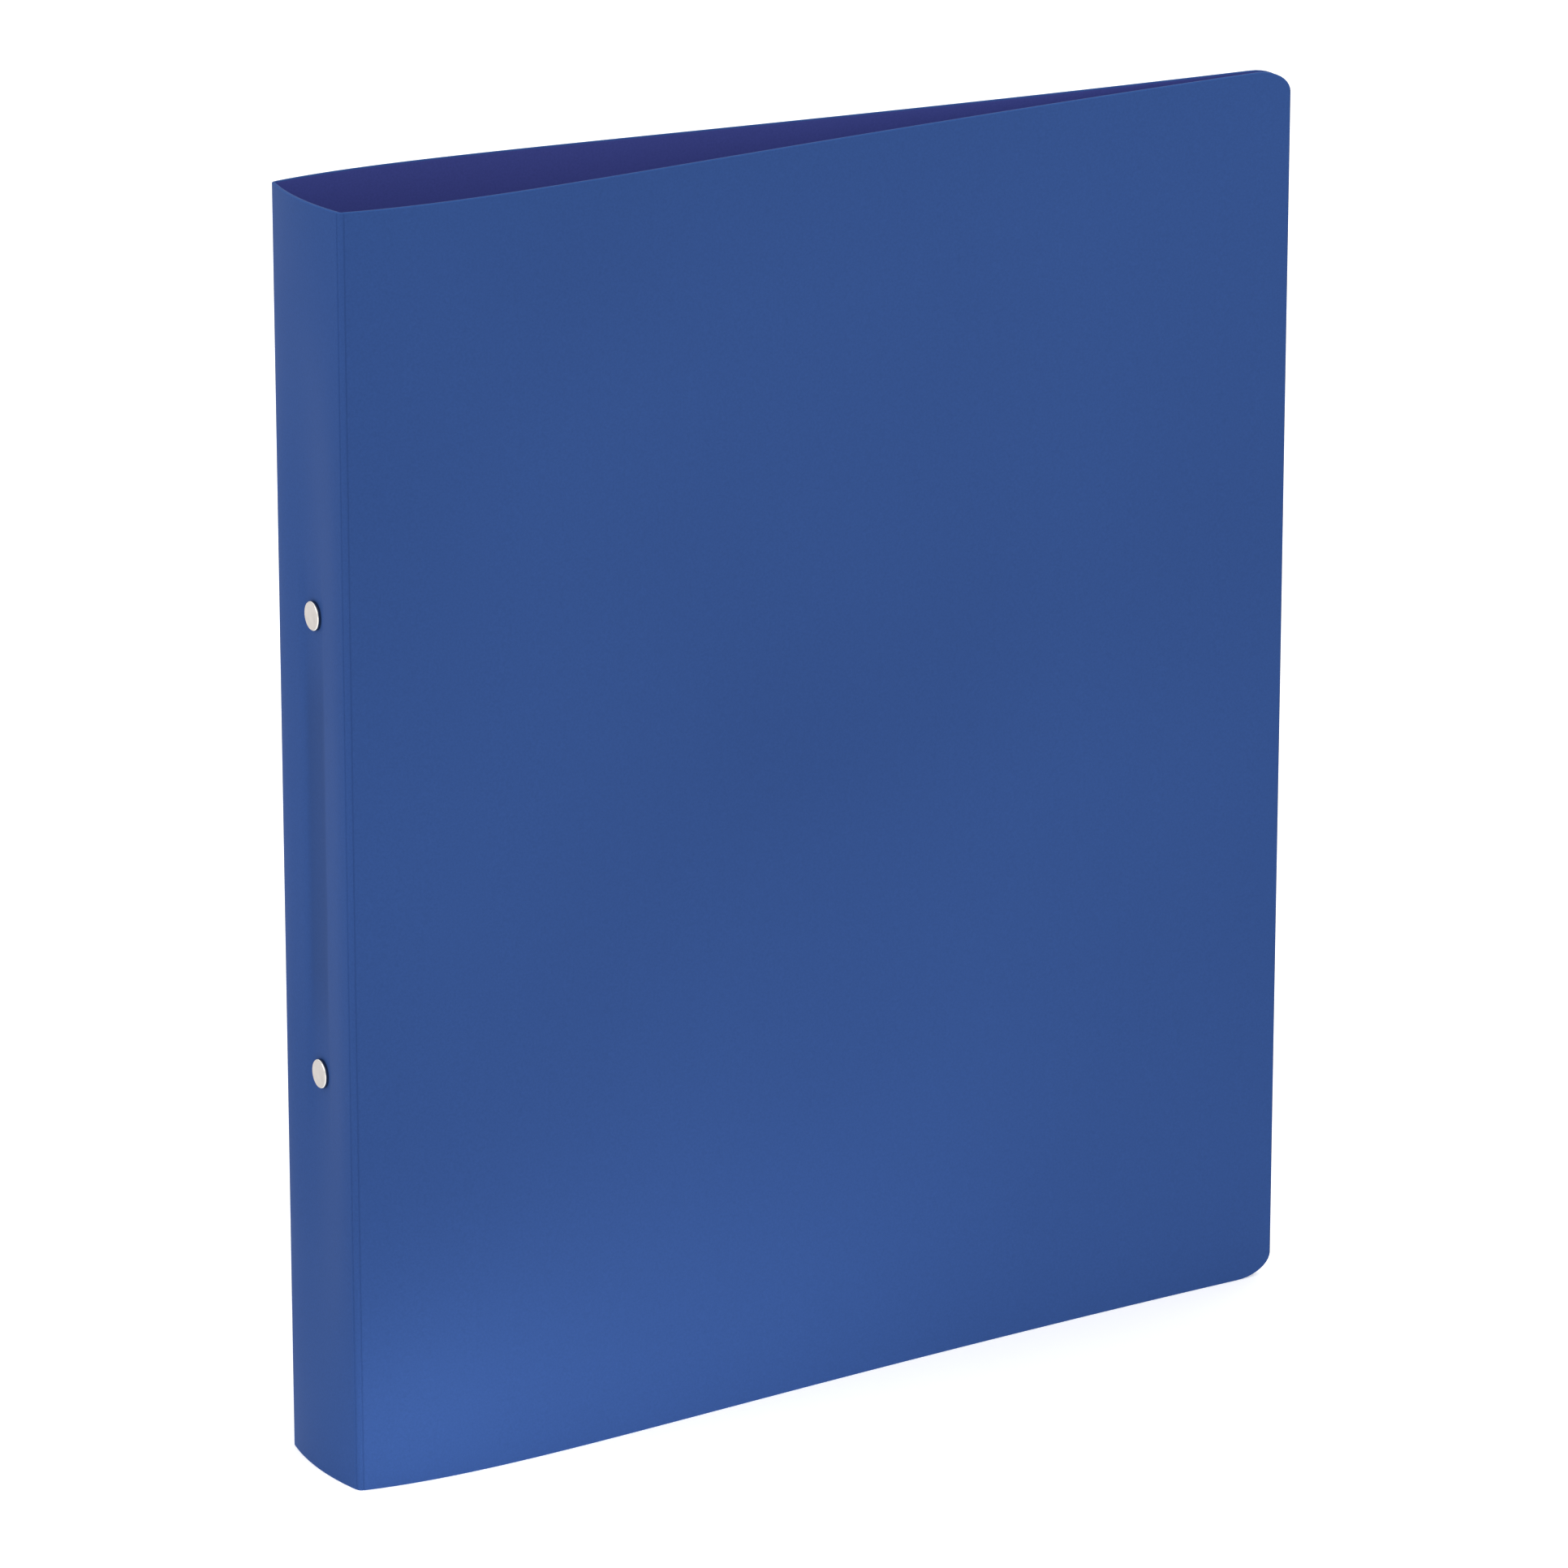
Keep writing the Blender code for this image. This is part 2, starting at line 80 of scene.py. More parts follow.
# Finer shapes than the CAD model has
EDGE_ROUNDING = 0.22 * MM          # along the sheet's cut edges
HEAD_HEIGHT = 1.1 * MM             # of the rivets over the sheet
HEAD_RIM, HEAD_FOOT = 0.42 * MM, 0.15 * MM      # radii of the roundings at the head's face and foot
DISH = (0, 0.06 * MM), (0.45, 0.05 * MM), (0.8, 0)    # shares of the head's radius, and how far sunk there
SEATING = 0.02 * MM                # between the head and the sheet
SHANK_RADIUS = 1.7 * MM
FLARE_RADIUS, FLARE = 3.0 * MM, 0.4 * MM        # the rolled end's outside, and the radius of its roll
RIVET_BORE_RADIUS, RIVET_BORE_DEPTH = 1.1 * MM, 3 * MM
HIGHLIGHT_RIM_SLOPE, SHADED_SIDE_SLOPE = 0.92, 0.45              # the rim with the painted highlight, and the side with painted shade, have normals with less X than this
METAL_EDGE = 0.15 * MM             # bevel on the plate, rails and spacers
WELD_DISTANCE = 0.001 * MM
CREASE_DEPTH = 0.16 * MM           # the two score lines at the sides of each fold
CREASE_REACH = 0.11                # half of a score line's width, as a share of the fold
INSIDE_SCORE = 0.25 * MM
SEAM = 0.4 * MM                    # how far from each fold's curve the spine's and the cover's pieces stop
WAVE_HEIGHT = 0.3 * MM             # slow waves in the covers
WAVE_LENGTH = 110 * MM
WAVE_SQUEEZE = 3                   # how many times faster the waves change along Y
WAVE_START, WAVE_LOSS = 0.2, 0.6   # they grow over this share of the cover, and lose this share by its end
# Painted shade: the spine's colour is darkened along the channel between the rivets, for the shade in that
# recess
SHADE_STRIP_HALF_WIDTH = 6 * MM          # of the strip of painted shade along the channel between the rivets
CHANNEL_SHADE_DARKENING = 0.17

# The sheet's colours, as (lighter, darker)
OUTSIDE_BLUES = (0.0265, 0.0645, 0.205), (0.0245, 0.0595, 0.190)
# Painted bounce light: the inside is the same sheet as the outside, coloured lighter and more violet for the
# light bounced between its blue walls
INSIDE_BOUNCE_LIGHT_BLUES = (0.0600, 0.0770, 0.300), (0.0550, 0.0700, 0.276)
# Painted glow: the cut edges are coloured lighter for the light that comes through the translucent sheet there
CUT_EDGE_GLOW_BLUES = (0.0300, 0.0820, 0.258), (0.0270, 0.0740, 0.236)

NICKEL_PLATE, NICKEL_WIRE = (0.66, 0.65, 0.62), (0.70, 0.69, 0.67)
# Lit and shaded copies of one nickel: the rivets' rims are painted light as a highlight, and their sides dark
# as painted shade
RIVET_FACE, RIVET_RIM_HIGHLIGHT, RIVET_SIDE_SHADE = (0.520, 0.485, 0.460), (0.84, 0.83, 0.81), (0.26, 0.25, 0.24)

# Sizes and depths of what the materials show
DRIFT, SPECKLE, GLOSS_PATCH = 120 * MM, 0.5 * MM, 35 * MM
GRAIN, GRAIN_DEPTH = 0.45 * MM, 0.03 * MM
RIPPLE, RIPPLE_DEPTH = 18 * MM, 0.12 * MM
CLOUD, RUB_MARK, PIT = 4 * MM, 0.25 * MM, 0.3 * MM
MARK_DEPTH = 0.004 * MM
MARK_STRETCH = 0.03                # rub marks are longer than wide by one over this
SHEET_TONES = 0.94, 1.06           # what the speckle multiplies the sheet's colour by
SHEET_IOR, SHEET_SPECULAR = 1.49, 0.02
DULLED = 0.86                      # of the nickel's colour is left where the plating is cloudy
FLOOR_PATCH, FLOOR_GREYS = 0.4, ((0.93, 0.93, 0.93), (0.95, 0.95, 0.95))

# Studio
FLOOR_HALF_WIDTH = 12
FLOOR_GLOW = 0.32                  # the floor is lit from below a little, like a light table
WORLD_LIGHT = 1.02
CAMERA_AZIMUTH, CAMERA_ELEVATION = math.radians(-29.6), math.radians(17.65)
CAMERA_DISTANCE = 2.2
LENS, SENSOR_WIDTH = 203.6, 36     # in millimetres, as the camera takes them
VIEW_DEPTH = 60
CAMERA_TARGET = (-0.0008, 0.0101, 0.1518)

# Steps that the sheet is divided into
ROWS = 72
CLOSE_ROW = 0.6 * MM               # from each cut edge to the row beside it
COVER_STEPS, CORNER_STEPS = 56, 10
SPINE_STEPS = 32
FOLD_STEPS = 36
TURN_STEPS = 96

# Places that come from the CAD model
SPINE_LOW, SPINE_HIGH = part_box("spine")
HEIGHT = SPINE_HIGH.z
SPINE_X = SPINE_LOW.x + SHEET / 2
FORE_EDGE_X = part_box("front_cover")[1].x
RIVET_BOXES = {name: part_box(name) for name in ("upper_rivet", "lower_rivet")}
PLATE_LOW, PLATE_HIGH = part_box("arch_plate")
MECHANISM_LENGTH = PLATE_HIGH.z - PLATE_LOW.z
RIVET_HEIGHTS = sorted((low.z + high.z) / 2 for low, high in RIVET_BOXES.values())

SPINE_RADIUS = (SPINE_HALF_WIDTH ** 2 + SPINE_BOW ** 2) / (2 * SPINE_BOW)
SPINE_EDGE_TURN = math.asin(SPINE_HALF_WIDTH / SPINE_RADIUS)
COVER_TURN = math.pi / 2 - COVER_LEAN
COVER_START = SEAM / (3 * COVER_SWELL)      # where the cover's panel starts, as a share of its Bezier curve


# ---- Node helpers ----

class Nodes:
    """A material's node tree, with one short call for each node."""

    def __init__(self, name):
        self.material = bpy.data.materials.new(name)
        self.material.use_nodes = True
        self.tree = self.material.node_tree
        self.shader = self.tree.nodes["Principled BSDF"]
        self.place = self.add("ShaderNodeTexCoord").outputs["Object"]

    def add(self, kind, **values):
        node = self.tree.nodes.new(kind)
        for name, value in values.items():
            setattr(node, name, value)
        return node

    def link(self, source, target):
        self.tree.links.new(source, target)

    def stretch(self, scale):
        mapping = self.add("ShaderNodeMapping")
        mapping.inputs["Scale"].default_value = scale
        self.link(self.place, mapping.inputs["Vector"])
        return mapping.outputs["Vector"]

    def noise(self, size, detail=2.0, roughness=0.5, vector=None):
        """Noise whose spots are about the given size in metres."""
        node = self.add("ShaderNodeTexNoise")
        node.inputs["Scale"].default_value = 1 / size
        node.inputs["Detail"].default_value = detail
        node.inputs["Roughness"].default_value = roughness
        self.link(vector or self.place, node.inputs["Vector"])
        return node.outputs["Fac"]

    def spread(self, value, low, high):
        """Noise mapped from its usual range, 0.3 to 0.7, to low..high."""
        node = self.add("ShaderNodeMapRange")
        node.inputs["From Min"].default_value = 0.3
        node.inputs["From Max"].default_value = 0.7
        node.inputs["To Min"].default_value = low
        node.inputs["To Max"].default_value = high
        self.link(value, node.inputs["Value"])
        return node.outputs["Result"]

    def mix(self, factor, first, second):
        """The first colour where the factor is 0, and the second where it is 1."""
        node = self.add("ShaderNodeMix", data_type="RGBA")
        self.link(factor, node.inputs["Factor"])
        colours = [socket for socket in node.inputs if socket.type == "RGBA"]
        for socket, colour in zip(colours, (first, second)):
            socket.default_value = (*colour, 1)
        return next(socket for socket in node.outputs if socket.type == "RGBA")

    def arithmetic(self, operation, first, *others):
        """The operation worked out from left to right over numbers and sockets."""
        result = first
        for other in others:
            node = self.add("ShaderNodeMath", operation=operation)
            for socket, value in zip(node.inputs, (result, other)):
                if isinstance(value, bpy.types.NodeSocket):
                    self.link(value, socket)
                else:
                    socket.default_value = value
            result = node.outputs["Value"]
        return result

    def band(self, coordinate, middle, half_width):
        """1 in the middle of a band, falling smoothly to 0 at its sides."""
        offset = self.arithmetic("SUBTRACT", coordinate, middle)
        distance = self.add("ShaderNodeMath", operation="ABSOLUTE")
        self.link(offset, distance.inputs[0])
        node = self.add("ShaderNodeMapRange", interpolation_type="SMOOTHSTEP")
        node.inputs["From Min"].default_value = half_width
        node.inputs["From Max"].default_value = half_width / 2
        self.link(distance.outputs["Value"], node.inputs["Value"])
        return node.outputs["Result"]

    def bump(self, height, distance, strength=1.0, under=None):
        node = self.add("ShaderNodeBump")
        node.inputs["Distance"].default_value = distance
        node.inputs["Strength"].default_value = strength
        self.link(height, node.inputs["Height"])
        if under:
            self.link(under, node.inputs["Normal"])
        return node.outputs["Normal"]


# ---- Materials ----

def painted_channel_shade(nodes):
    """Painted shade along the channel between the rivets: a tone below 1 there, and 1 elsewhere."""
    axes = nodes.add("ShaderNodeSeparateXYZ")
    nodes.link(nodes.place, axes.inputs["Vector"])
    across = nodes.band(axes.outputs["Y"], 0, SHADE_STRIP_HALF_WIDTH)
    low, high = RIVET_HEIGHTS
    along = nodes.band(axes.outputs["Z"], (low + high) / 2, (high - low) / 2)
    return nodes.arithmetic("SUBTRACT", 1, nodes.arithmetic("MULTIPLY", CHANNEL_SHADE_DARKENING, across, along))


def polypropylene(name, light, dark, roughness, channel_shade=False):
    """Matte moulded sheet: slow colour drift, fine speckle and a close embossed grain."""
    nodes = Nodes(name)
    drift = nodes.spread(nodes.noise(DRIFT, detail=1), 0, 1)
    colour = nodes.mix(drift, dark, light)
    tone = nodes.spread(nodes.noise(SPECKLE, detail=3), *SHEET_TONES)
    # Painted shade along the channel between the rivets darkens the spine's colour
    if channel_shade:
        tone = nodes.arithmetic("MULTIPLY", tone, painted_channel_shade(nodes))
    tinted = nodes.add("ShaderNodeVectorMath", operation="SCALE")
    nodes.link(colour, tinted.inputs["Vector"])
    nodes.link(tone, tinted.inputs["Scale"])
    nodes.link(tinted.outputs["Vector"], nodes.shader.inputs["Base Color"])
    gloss = nodes.spread(nodes.noise(GLOSS_PATCH, detail=3), roughness - 0.03, roughness + 0.03)
    nodes.link(gloss, nodes.shader.inputs["Roughness"])
    grain = nodes.bump(nodes.noise(GRAIN, detail=2, roughness=0.6), GRAIN_DEPTH, strength=0.5)
    ripple = nodes.bump(nodes.noise(RIPPLE, detail=1), RIPPLE_DEPTH, strength=0.4, under=grain)
    nodes.link(ripple, nodes.shader.inputs["Normal"])
    nodes.shader.inputs["IOR"].default_value = SHEET_IOR
    nodes.shader.inputs["Specular IOR Level"].default_value = SHEET_SPECULAR
    return nodes.material


def nickel(name, colour, roughness, brushed=0.0):
    """Plated steel: cloudy plating, faint rub marks along the length, and tiny pits."""
    nodes = Nodes(name)
    cloud = nodes.spread(nodes.noise(CLOUD, detail=4), 0, 1)
    dull = tuple(DULLED * channel for channel in colour)
    nodes.link(nodes.mix(cloud, dull, colour), nodes.shader.inputs["Base Color"])
    marks = nodes.noise(RUB_MARK, detail=3, vector=nodes.stretch((1, 1, MARK_STRETCH)))
    gloss = nodes.spread(marks, roughness - 0.05, roughness + 0.07)
    nodes.link(gloss, nodes.shader.inputs["Roughness"])
    lines = nodes.bump(marks, MARK_DEPTH, strength=0.2 + brushed)
    pits = nodes.bump(nodes.noise(PIT, detail=2), MARK_DEPTH, strength=0.3, under=lines)
    nodes.link(pits, nodes.shader.inputs["Normal"])
    nodes.shader.inputs["Metallic"].default_value = 1.0
    return nodes.material


def floor_paper():
    nodes = Nodes("floor_paper")
    tone = nodes.spread(nodes.noise(FLOOR_PATCH, detail=2), 0, 1)
    nodes.link(nodes.mix(tone, *FLOOR_GREYS), nodes.shader.inputs["Base Color"])
    nodes.shader.inputs["Roughness"].default_value = 0.85
    nodes.shader.inputs["Specular IOR Level"].default_value = 0.1
    nodes.shader.inputs["Emission Color"].default_value = (1, 1, 1, 1)
    nodes.shader.inputs["Emission Strength"].default_value = FLOOR_GLOW
    return nodes.material


# ---- The sheet's line, seen from above ----

def spine_arc_x(y):
    return SPINE_X + SPINE_RADIUS - math.sqrt(SPINE_RADIUS ** 2 - y ** 2)


def fold_station(side, turn):
    """(point, outward normal) of the sheet's middle on the fold, turned this far from the spine's plane."""
    edge = Vector((spine_arc_x(SPINE_HALF_WIDTH), SPINE_HALF_WIDTH))
    centre = edge + FOLD_RADIUS * Vector((math.cos(SPINE_EDGE_TURN), -math.sin(SPINE_EDGE_TURN)))
    outward = Vector((-math.cos(turn), math.sin(turn)))
    point = centre + FOLD_RADIUS * outward
    return Vector((point.x, side * point.y)), Vector((outward.x, side * outward.y))


def cover_station(side, t):
    """(point, outward normal) of the cover's middle, at t from 0 at the fold to 1 at the fore-edge."""
    a = fold_station(BACK, COVER_TURN)[0]
    b = a + COVER_SWELL * Vector((math.cos(COVER_LEAN), math.sin(COVER_LEAN)))
    d = Vector((FORE_EDGE_X, FORE_EDGE_HALF_GAP))
    c = d + COVER_TAPER_RUN * Vector((-1, COVER_TAPER))
    s = 1 - t
    point = s ** 3 * a + 3 * s * s * t * b + 3 * s * t * t * c + t ** 3 * d
    heading = (s * s * (b - a) + 2 * s * t * (c - b) + t * t * (d - c)).normalized()
    return Vector((point.x, side * point.y)), Vector((-heading.y, side * heading.x))


def bump_shape(distance, reach):
    """1 at no distance, falling smoothly to 0 at reach."""
    return max(0.0, 1 - (distance / reach) ** 2) ** 2


def fade(value, full, none):
    """1 up to full, falling smoothly to 0 at none."""
    share = min(1.0, max(0.0, (none - value) / (none - full)))
    return share * share * (3 - 2 * share)


def spine_pull(y, z):
    """How far the spine is drawn in: broadly at the mechanism, and more in the channel between the rivets."""
    low, high = RIVET_HEIGHTS
    from_middle = abs(z - HEIGHT / 2)
    broad = bump_shape(y, SPINE_HALF_WIDTH) * fade(from_middle, MECHANISM_LENGTH / 2, HEIGHT / 2)
    past_rivet = from_middle - (high - low) / 2
    narrow = fade(abs(y), CHANNEL_FLAT, CHANNEL_HALF_WIDTH) * fade(past_rivet, CHANNEL_END, CHANNEL_RUN_OUT)
    return FLATTENING * broad + CHANNEL_DEPTH * narrow


def cover_wave(point, z, t):
    """Slow unevenness of the sheet, none at the fold and less at the fore-edge than in the middle."""
    place = Vector((point.x, WAVE_SQUEEZE * point.y, z)) / WAVE_LENGTH
    return WAVE_HEIGHT * noise.noise(place) * min(1.0, t / WAVE_START) * (1 - WAVE_LOSS * t)


# ---- Pieces of the sheet ----

def height_shares():
    """Rows up the sheet, with one close to each cut edge so that its rounding shades crisply."""
    near = CLOSE_ROW / HEIGHT
    return [0, near] + [row / ROWS for row in range(1, ROWS)] + [1 - near, 1]


def add_object(name, bm, materials):
    mesh = bpy.data.meshes.new(name)
    bm.to_mesh(mesh)
    bm.free()
    mesh.shade_smooth()
    for material in materials:
        mesh.materials.append(material)
    obj = bpy.data.objects.new(name, mesh)
    bpy.context.scene.collection.objects.link(obj)
    return obj


def sheet_columns(bm, stations):
    """The points of the outer and of the inner face, as one column for each station."""
    outside, inside = [], []
    for point, outward, outer, inner, low, high, shift in stations:
        heights = [low + share * (high - low) for share in height_shares()]
        for columns, reach in ((outside, outer), (inside, -inner)):
            places = [point + (shift(z) + reach) * outward for z in heights]
            columns.append([bm.verts.new((place.x, place.y, z)) for place, z in zip(places, heights)])
    return outside, inside


def sheet_piece(name, stations, body, replaced, materials, end_is_cut=False):
    """A closed piece of the sheet. Each station is (point, outward, outer, inner, low, high, shift).

    Outer and inner are distances from the middle to the faces there, low and high are where the sheet
    starts and stops, and shift(z) moves both faces outwards. Only cut edges get rounded. The materials are
    those of the outside, the inside and the cut edges.
    """
    bm = bmesh.new()
    outside, inside = sheet_columns(bm, stations)
    for columns, slot in ((outside, OUTSIDE), (inside, INSIDE)):
        for a, b in zip(columns, columns[1:]):
            for row in range(len(a) - 1):
                bm.faces.new((a[row], b[row], b[row + 1], a[row + 1])).material_index = slot

    cut_edges = []
    for a, b, c, d in zip(outside, outside[1:], inside, inside[1:]):
        for row in (0, -1):
            bm.faces.new((a[row], b[row], d[row], c[row])).material_index = CUT_EDGE
            cut_edges += [bm.edges.get((a[row], b[row])), bm.edges.get((c[row], d[row]))]
    for end in (0, -1):
        a, c = outside[end], inside[end]
        for row in range(len(a) - 1):
            face = bm.faces.new((a[row], a[row + 1], c[row + 1], c[row]))
            if end == -1 and end_is_cut:
                face.material_index = CUT_EDGE
                cut_edges += [bm.edges.get((a[row], a[row + 1])), bm.edges.get((c[row], c[row + 1]))]
    bmesh.ops.recalc_face_normals(bm, faces=bm.faces)
    bmesh.ops.bevel(
        bm, geom=cut_edges, offset=EDGE_ROUNDING, segments=3, profile=0.5, affect="EDGES", material=CUT_EDGE
    )

    piece = add_object(name, bm, materials)
    piece.data.set_sharp_from_angle(angle=SHARP_ANGLE)
    if body:
        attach(piece, body)
    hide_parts(replaced)
    return piece


def still(z):
    return 0.0


def spine_section(y):
    """The spine's station for sheet_piece, this far from its middle."""
    x = spine_arc_x(y)
    outward = Vector((x - SPINE_X - SPINE_RADIUS, y)).normalized()
    return Vector((x, y)), outward, SHEET / 2, SHEET / 2, 0, HEIGHT, lambda z: -spine_pull(y, z)


def cover_section(side, t, cut=0.0):
    """The cover's station for sheet_piece, with this much cut off at its top and bottom for the corners."""
    point, outward = cover_station(side, t)
    return point, outward, SHEET / 2, SHEET / 2, cut, HEIGHT - cut, lambda z: cover_wave(point, z, t)


def make_spine_panel(materials):
    half_width = SPINE_HALF_WIDTH - SEAM
    stations = [spine_section(half_width * (2 * step / SPINE_STEPS - 1)) for step in range(SPINE_STEPS + 1)]
    sheet_piece("spine_panel", stations, "spine", "spine", materials)


def make_fold(word, side, materials):
    """The living hinge: a score line along each side of it outside, and one broad score inside."""
    stations = [spine_section(side * (SPINE_HALF_WIDTH - SEAM))]
    for step in range(FOLD_STEPS + 1):
        share = step / FOLD_STEPS
        point, outward = fold_station(side, SPINE_EDGE_TURN + share * (COVER_TURN - SPINE_EDGE_TURN))
        crease = max(bump_shape(share - line, CREASE_REACH) for line in (CREASE_REACH, 1 - CREASE_REACH))
        outer = SHEET / 2 - CREASE_DEPTH * crease
        inner = SHEET / 2 - INSIDE_SCORE * bump_shape(share - 0.5, 0.5)
        stations.append((point, outward, outer, inner, 0, HEIGHT, still))
    stations.append(cover_section(side, COVER_START))
    fold = sheet_piece(f"{word}_fold", stations, None, f"{word}_hinge_web", materials)
    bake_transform(fold)


def make_cover_panel(word, side, materials):
    # The last stretch before the fore-edge carries the rounded corners, in equal steps of their angle.
    length = FORE_EDGE_X - fold_station(side, COVER_TURN)[0].x
    corner_start = 1 - CORNER_RADIUS / length
    plain = corner_start - COVER_START
    shares = [COVER_START + plain * step / COVER_STEPS for step in range(COVER_STEPS + 1)]
    stations = [cover_section(side, share) for share in shares]
    for step in range(1, CORNER_STEPS + 1):
        angle = math.pi / 2 * step / CORNER_STEPS
        t = corner_start + (1 - corner_start) * math.sin(angle)
        stations.append(cover_section(side, t, cut=CORNER_RADIUS * (1 - math.cos(angle))))
    sheet_piece(f"{word}_cover_panel", stations, f"{word}_cover", f"{word}_cover", materials, end_is_cut=True)


# ---- The mechanism ----

def arc(centre, radius, start, stop, steps):
    """Points (x, r) on a circle, with angles in degrees from +X towards the outside."""
    angles = [math.radians(start + (stop - start) * step / steps) for step in range(steps + 1)]
    return [(centre[0] + radius * math.cos(a), centre[1] + radius * math.sin(a)) for a in angles]


def make_rivet(name, materials):
    """A rivet turned with a flat face, a rounded rim and a rolled flare at its other end.

    The materials are those of its flat faces, its rounded rims, painted light as a highlight, and its sides,
    painted dark as shade.
    """
    low, high = RIVET_BOXES[name]
    radius = (high.z - low.z) / 2
    height = (low.z + high.z) / 2
    under_head = spine_arc_x(0) + spine_pull(0, height) - SHEET / 2 - SEATING
    face = under_head - HEAD_HEIGHT
    profile = [(face + depth, share * radius) for share, depth in DISH]
    profile += arc((face + HEAD_RIM, radius - HEAD_RIM), HEAD_RIM, 180, 90, 6)
    profile += arc((under_head - HEAD_FOOT, radius - HEAD_FOOT), HEAD_FOOT, 90, 0, 3)
    profile += [(under_head, SHANK_RADIUS), (high.x - 2 * FLARE, SHANK_RADIUS)]
    profile += arc((high.x - FLARE, FLARE_RADIUS - FLARE), FLARE, 180, 0, 10)
    profile += arc((high.x - FLARE, RIVET_BORE_RADIUS + FLARE), FLARE, 0, -90, 5)
    profile += [(high.x - RIVET_BORE_DEPTH, RIVET_BORE_RADIUS), (high.x - RIVET_BORE_DEPTH, 0)]
    bm = bmesh.new()
    line = [bm.verts.new((x, 0, r)) for x, r in profile]
    edges = [bm.edges.new(pair) for pair in zip(line, line[1:])]
    bmesh.ops.spin(bm, geom=line + edges, cent=(0, 0, 0), axis=(1, 0, 0), angle=2 * math.pi, steps=TURN_STEPS)
    bmesh.ops.remove_doubles(bm, verts=bm.verts, dist=WELD_DISTANCE)
    bmesh.ops.recalc_face_normals(bm, faces=bm.faces)
    rivet = add_object(f"{name}_turned", bm, materials)
    for polygon in rivet.data.polygons:
        # By slope: the face, the rim with a painted highlight, and the side with painted shade
        polygon.material_index = sum(abs(polygon.normal.x) < limit for limit in (HIGHLIGHT_RIM_SLOPE, SHADED_SIDE_SLOPE))
    rivet.location.z = height
    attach(rivet, "spine")
    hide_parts(name)


def set_material(node, material):
    node.data.materials.clear()
    node.data.materials.append(material)


def weld(node):
    """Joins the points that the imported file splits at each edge, so that the next modifier sees one skin."""
    modifier = node.modifiers.new("weld", "WELD")
    modifier.merge_threshold = WELD_DISTANCE


def smooth_wire(node):
    weld(node)
    modifier = node.modifiers.new("rounder", "SUBSURF")
    modifier.levels = modifier.render_levels = 2


def ease_edges(node):
    weld(node)
    modifier = node.modifiers.new("eased_edges", "BEVEL")
    modifier.width = METAL_EDGE
    modifier.segments = 2
    modifier.limit_method = "ANGLE"
    modifier.angle_limit = SHARP_ANGLE
    modifier.harden_normals = True


def finish_mechanism():
    plating = nickel("nickel_plate", NICKEL_PLATE, roughness=0.26, brushed=0.3)
    wire = nickel("nickel_wire", NICKEL_WIRE, roughness=0.16)
    face = nickel("nickel_rivet_face", RIVET_FACE, roughness=0.36)
    # Painted highlight on the rivets' rims, and painted shade on their sides
    rim = nickel("nickel_rivet_rim_painted_highlight", RIVET_RIM_HIGHLIGHT, roughness=0.10)
    edge = nickel("nickel_rivet_side_painted_shade", RIVET_SIDE_SHADE, roughness=0.15)
    for name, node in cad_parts.items():
        if "ring" in name:
            set_material(node, wire)
            smooth_wire(node)
        elif name == "arch_plate" or "rail" in name or "spacer" in name:
            set_material(node, plating)
            ease_edges(node)
    for name in RIVET_BOXES:
        make_rivet(name, (face, rim, edge))


# ---- Stage, light and camera ----

def make_floor():
    bm = bmesh.new()
    bmesh.ops.create_grid(bm, x_segments=1, y_segments=1, size=FLOOR_HALF_WIDTH)
    add_object("floor", bm, [floor_paper()])


def aim(obj, target):
    obj.rotation_euler = (Vector(target) - obj.location).to_track_quat("-Z", "Y").to_euler()


def make_softbox(name, place, target, width, watts, height=None):
    data = bpy.data.lights.new(name, "AREA")
    data.shape = "RECTANGLE"
    data.size = width
    data.size_y = height or width
    data.energy = watts
    light = bpy.data.objects.new(name, data)
    light.location = place
    light.visible_camera = False
    bpy.context.scene.collection.objects.link(light)
    aim(light, target)


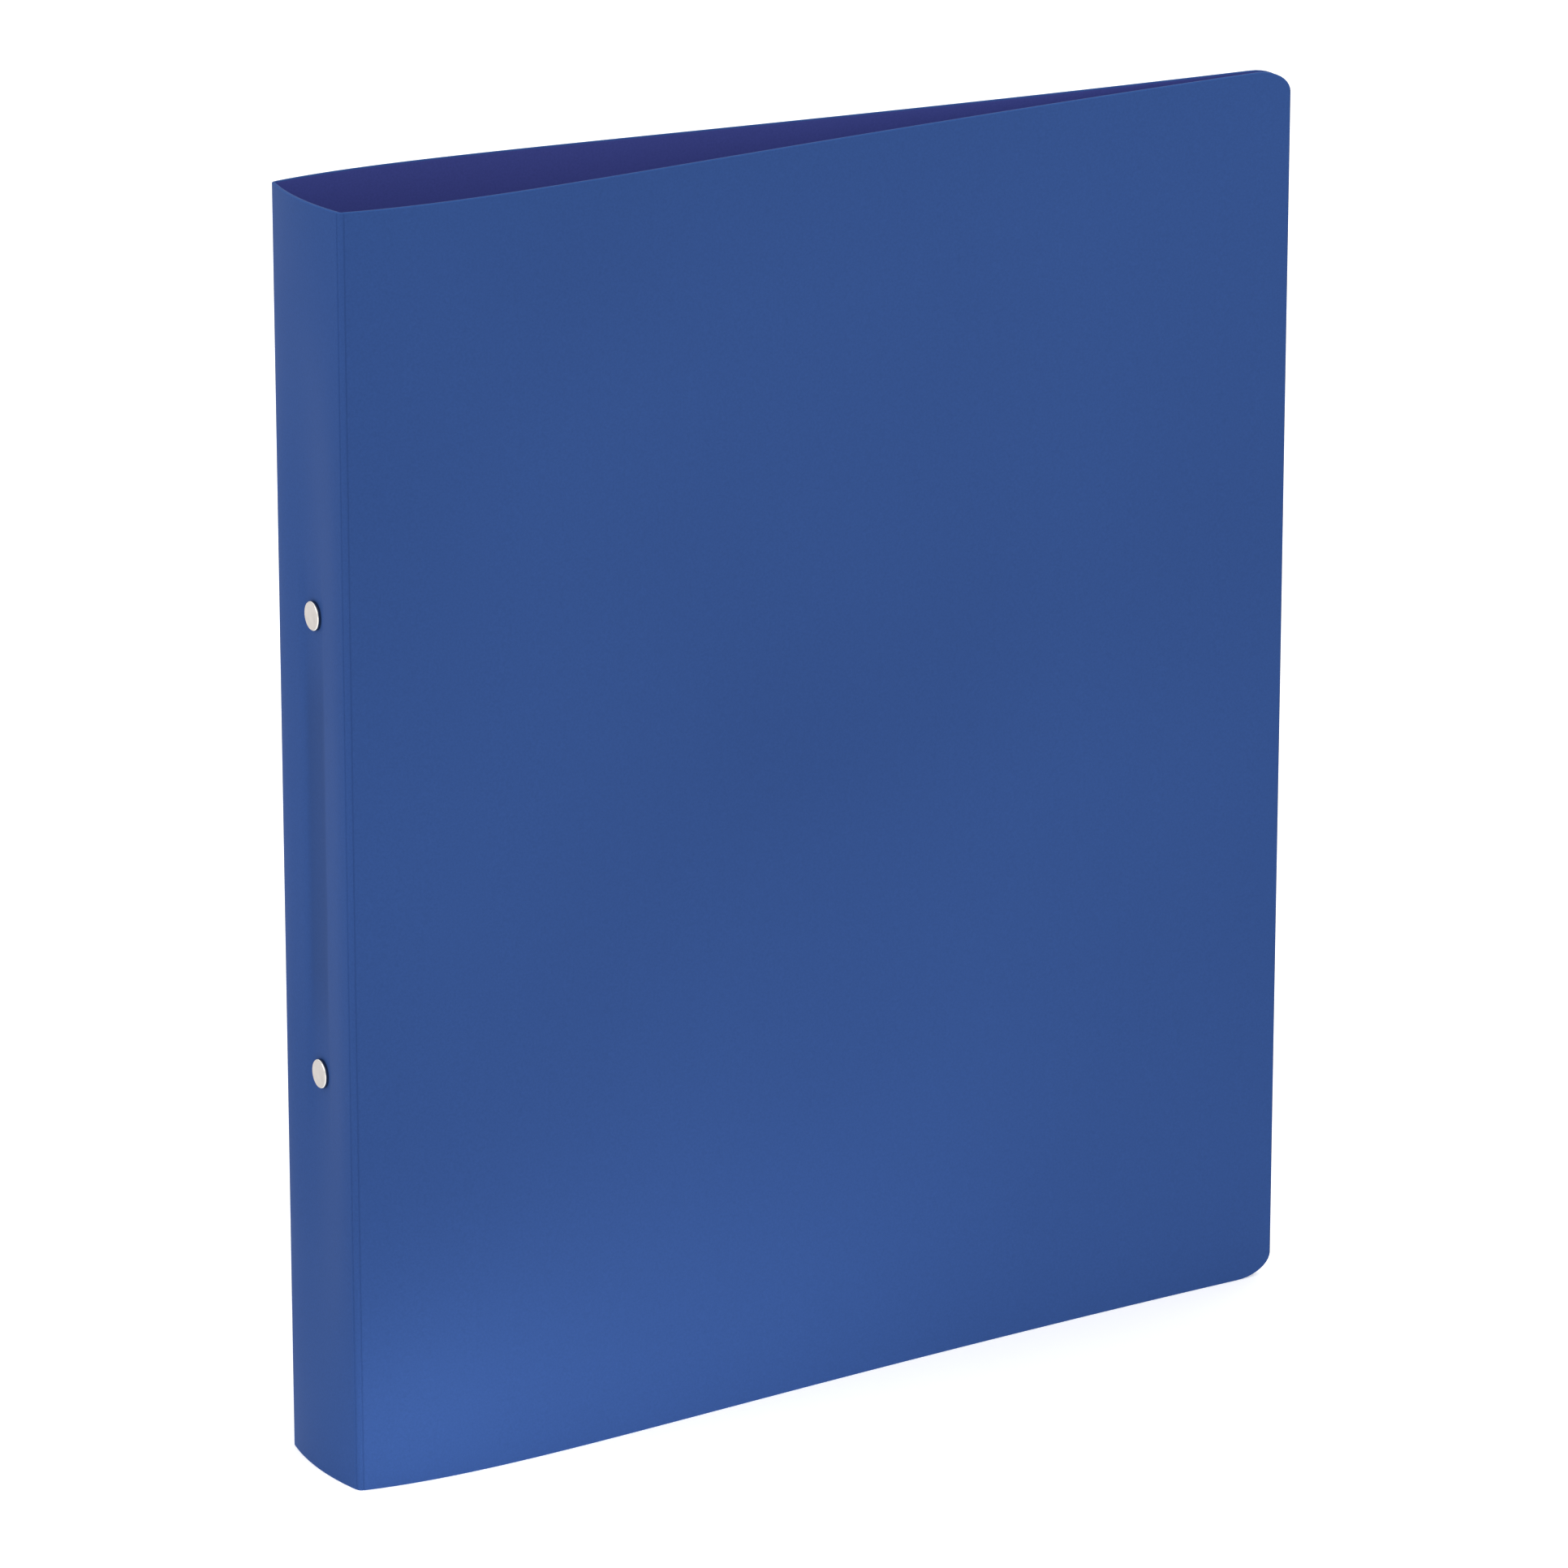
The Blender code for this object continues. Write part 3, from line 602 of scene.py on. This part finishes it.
def make_lights():
    middle = (0, 0, HEIGHT / 2)
    make_softbox("key", (-0.6, -2.4, 2.6), middle, width=2.0, watts=15)
    make_softbox("fill", (1.8, -1.4, 1.6), middle, width=1.6, watts=2.5)
    make_softbox("side", (-2.8, 0.5, 1.1), middle, width=1.4, watts=13)
    # Light thrown up from the table in front, strongest near the spine
    beside_spine, foot_of_cover = (-0.05, -0.085, 0.003), (-0.03, 0, 0.01)
    make_softbox("table_strip", beside_spine, foot_of_cover, width=0.24, watts=0.085, height=0.03)


def make_world():
    world = bpy.data.worlds.new("studio")
    world.use_nodes = True
    background = world.node_tree.nodes["Background"]
    background.inputs["Color"].default_value = (1, 1, 1, 1)
    background.inputs["Strength"].default_value = WORLD_LIGHT
    bpy.context.scene.world = world


def make_camera():
    target = Vector(CAMERA_TARGET)
    away = Vector((
        math.sin(CAMERA_AZIMUTH) * math.cos(CAMERA_ELEVATION),
        -math.cos(CAMERA_AZIMUTH) * math.cos(CAMERA_ELEVATION),
        math.sin(CAMERA_ELEVATION),
    ))
    data = bpy.data.cameras.new("camera")
    data.lens = LENS
    data.sensor_width = SENSOR_WIDTH
    data.clip_end = VIEW_DEPTH
    camera = bpy.data.objects.new("camera", data)
    camera.location = target + CAMERA_DISTANCE * away
    bpy.context.scene.collection.objects.link(camera)
    aim(camera, target)
    bpy.context.scene.camera = camera


def main():
    sheet = (
        polypropylene("pp_outside", *OUTSIDE_BLUES, roughness=0.52),
        # The inside, with painted bounce light
        polypropylene("pp_inside_painted_bounce", *INSIDE_BOUNCE_LIGHT_BLUES, roughness=0.50),
        # The cut edges, with a painted glow
        polypropylene("pp_cut_edge_painted_glow", *CUT_EDGE_GLOW_BLUES, roughness=0.45),
    )
    # The spine's outside, with painted shade along the channel between the rivets
    channel_shade = polypropylene("pp_spine_painted_shade", *OUTSIDE_BLUES, roughness=0.52, channel_shade=True)
    make_spine_panel((channel_shade, *sheet[1:]))
    for word, side in (("front", FRONT), ("back", BACK)):
        make_fold(word, side, sheet)
        make_cover_panel(word, side, sheet)
    finish_mechanism()
    make_floor()
    make_world()
    make_lights()
    make_camera()
    bpy.context.scene.view_settings.view_transform = "Standard"


main()
